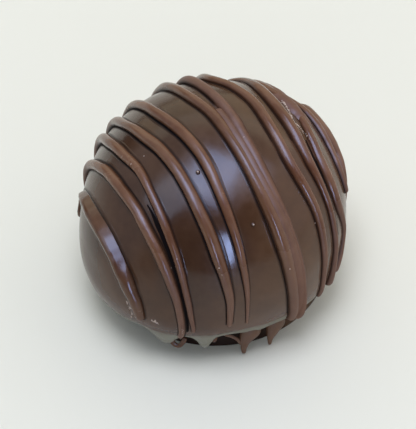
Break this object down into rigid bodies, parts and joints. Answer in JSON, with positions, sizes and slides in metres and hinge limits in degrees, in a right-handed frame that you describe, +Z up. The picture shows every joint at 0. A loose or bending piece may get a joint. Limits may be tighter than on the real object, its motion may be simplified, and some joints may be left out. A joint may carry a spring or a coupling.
{
  "type": "chocolate truffle",
  "caption": "Round dipped chocolate truffle with thick drizzle strands fused over its crown, a rolled rim with short drips and a small flat foot.",
  "frame": {"origin": "centre of the bounding box at its lowest level, on the flat foot's level", "axes": "+Z up from the foot to the crown, +X to the right and +Y away from the side that the picture shows, so the drips hang on the -Y side and the strands run at about 58 degrees to +X"},
  "size_m": [0.0376, 0.038, 0.0287],
  "materials": {
    "chocolate": "satin, dark milk chocolate: the coating is darker and glossier than the strands"
  },
  "bodies": {
    "root": {"truffle": "chocolate"}
  },
  "joints": []
}
